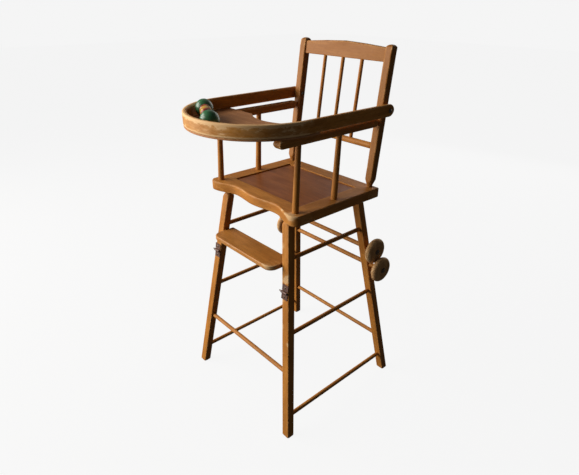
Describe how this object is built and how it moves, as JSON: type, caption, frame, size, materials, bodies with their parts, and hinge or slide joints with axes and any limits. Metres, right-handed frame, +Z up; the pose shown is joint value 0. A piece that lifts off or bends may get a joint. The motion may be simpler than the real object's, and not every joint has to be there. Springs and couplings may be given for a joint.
{
  "type": "baby high chair",
  "caption": "Wooden baby high chair that folds at mid leg into a low chair on wheels, with a swing-over tray, beads and a footrest.",
  "frame": {"origin": "on the floor, under the middle of the chair's overall box", "axes": "+Z up; the front of the chair faces -Y; +X is the seated child's left"},
  "size_m": [0.415, 0.461, 0.9],
  "materials": {
    "varnished_beech": "amber varnish, satin",
    "worn_tray_beech": "varnish worn through to pale wood",
    "footrest_beech": "brown varnish, satin",
    "seat_plywood": "dark red-brown varnish, glossy",
    "tray_plywood": "faded brown varnish",
    "wheel_wood": "bare grey-brown wood, matt",
    "green_paint": "green gloss paint on wood",
    "red_paint": "red gloss paint on wood",
    "yellow_paint": "yellow gloss paint on wood",
    "hinge_paint": "worn brown paint",
    "screw_steel": "dull plated steel"
  },
  "bodies": {
    "lower_base": {"lower_leg_front_left": "varnished_beech", "lower_leg_front_right": "varnished_beech", "lower_leg_rear_left": "varnished_beech", "lower_leg_rear_right": "varnished_beech", "mid_side_stretcher_left": "varnished_beech", "mid_side_stretcher_right": "varnished_beech", "low_side_stretcher_left": "varnished_beech", "low_side_stretcher_right": "varnished_beech", "front_stretcher": "varnished_beech", "rear_stretcher": "varnished_beech", "lower_axle": "varnished_beech", "lower_wheel_fixings": "screw_steel", "hinge_lower_leaf_left": "hinge_paint", "hinge_lower_leaf_right": "hinge_paint", "hinge_pins": "hinge_paint", "lower_hinge_screws": "screw_steel"},
    "chair": {"seat_front_rail": "varnished_beech", "seat_back_rail": "varnished_beech", "seat_side_rail_left": "varnished_beech", "seat_side_rail_right": "varnished_beech", "seat_panel": "seat_plywood", "back_post_left": "varnished_beech", "back_post_right": "varnished_beech", "crest_rail": "varnished_beech", "lower_back_rail": "varnished_beech", "back_spindle_left": "varnished_beech", "back_spindle_centre": "varnished_beech", "back_spindle_right": "varnished_beech", "armrest_left": "varnished_beech", "armrest_right": "varnished_beech", "arm_spindle_front_left": "varnished_beech", "arm_spindle_front_right": "varnished_beech", "arm_spindle_rear_left": "varnished_beech", "arm_spindle_rear_right": "varnished_beech", "upper_leg_front_left": "varnished_beech", "upper_leg_front_right": "varnished_beech", "upper_leg_rear_left": "varnished_beech", "upper_leg_rear_right": "varnished_beech", "upper_side_stretcher_left": "varnished_beech", "upper_side_stretcher_right": "varnished_beech", "upper_axle": "varnished_beech", "upper_wheel_fixings": "screw_steel", "hinge_upper_leaf_left": "hinge_paint", "hinge_upper_leaf_right": "hinge_paint", "upper_hinge_screws": "screw_steel", "footrest_screws": "screw_steel", "tray_pivot_bolts": "screw_steel"},
    "tray": {"tray_rim": "worn_tray_beech", "tray_board": "tray_plywood", "bead_rod": "screw_steel"},
    "footrest": {"footrest_board": "footrest_beech"},
    "wheel_upper_left": {"wheel_upper_left": "wheel_wood"},
    "wheel_upper_right": {"wheel_upper_right": "wheel_wood"},
    "wheel_lower_left": {"wheel_lower_left": "wheel_wood"},
    "wheel_lower_right": {"wheel_lower_right": "wheel_wood"},
    "bead_ball_rear": {"bead_ball_rear": "green_paint"},
    "bead_ball_front": {"bead_ball_front": "green_paint"},
    "bead_disc_rear": {"bead_disc_rear": "red_paint"},
    "bead_disc_middle": {"bead_disc_middle": "yellow_paint"},
    "bead_disc_front": {"bead_disc_front": "red_paint"}
  },
  "joints": [
    {"name": "fold", "type": "hinge", "parent": "lower_base", "child": "chair", "pos_m": [0, -0.12018, 0.392], "axis": [1, 0, 0], "range_deg": [0, 177]},
    {"name": "tray_swing", "type": "hinge", "parent": "chair", "child": "tray", "pos_m": [0, 0.1802, 0.7655], "axis": [-1, 0, 0], "range_deg": [0, 267]},
    {"name": "footrest_tilt", "type": "hinge", "parent": "chair", "child": "footrest", "pos_m": [0, -0.09882, 0.45], "axis": [-1, 0, 0], "range_deg": [-28, 36]},
    {"name": "wheel_upper_left_spin", "type": "hinge", "parent": "chair", "child": "wheel_upper_left", "pos_m": [0, 0.16298, 0.413], "axis": [1, 0, 0], "continuous": true},
    {"name": "wheel_upper_right_spin", "type": "hinge", "parent": "chair", "child": "wheel_upper_right", "pos_m": [0, 0.16298, 0.413], "axis": [1, 0, 0], "continuous": true},
    {"name": "wheel_lower_left_spin", "type": "hinge", "parent": "lower_base", "child": "wheel_lower_left", "pos_m": [0, 0.16994, 0.363], "axis": [1, 0, 0], "continuous": true},
    {"name": "wheel_lower_right_spin", "type": "hinge", "parent": "lower_base", "child": "wheel_lower_right", "pos_m": [0, 0.16994, 0.363], "axis": [1, 0, 0], "continuous": true},
    {"name": "bead_ball_rear_spin", "type": "hinge", "parent": "tray", "child": "bead_ball_rear", "pos_m": [-0.04994, -0.16751, 0.772], "axis": [0.891, -0.454, 0], "continuous": true},
    {"name": "bead_ball_front_spin", "type": "hinge", "parent": "tray", "child": "bead_ball_front", "pos_m": [-0.04994, -0.16751, 0.772], "axis": [0.891, -0.454, 0], "continuous": true},
    {"name": "bead_disc_rear_spin", "type": "hinge", "parent": "tray", "child": "bead_disc_rear", "pos_m": [-0.04994, -0.16751, 0.772], "axis": [0.891, -0.454, 0], "continuous": true},
    {"name": "bead_disc_middle_spin", "type": "hinge", "parent": "tray", "child": "bead_disc_middle", "pos_m": [-0.04994, -0.16751, 0.772], "axis": [0.891, -0.454, 0], "continuous": true},
    {"name": "bead_disc_front_spin", "type": "hinge", "parent": "tray", "child": "bead_disc_front", "pos_m": [-0.04994, -0.16751, 0.772], "axis": [0.891, -0.454, 0], "continuous": true}
  ]
}
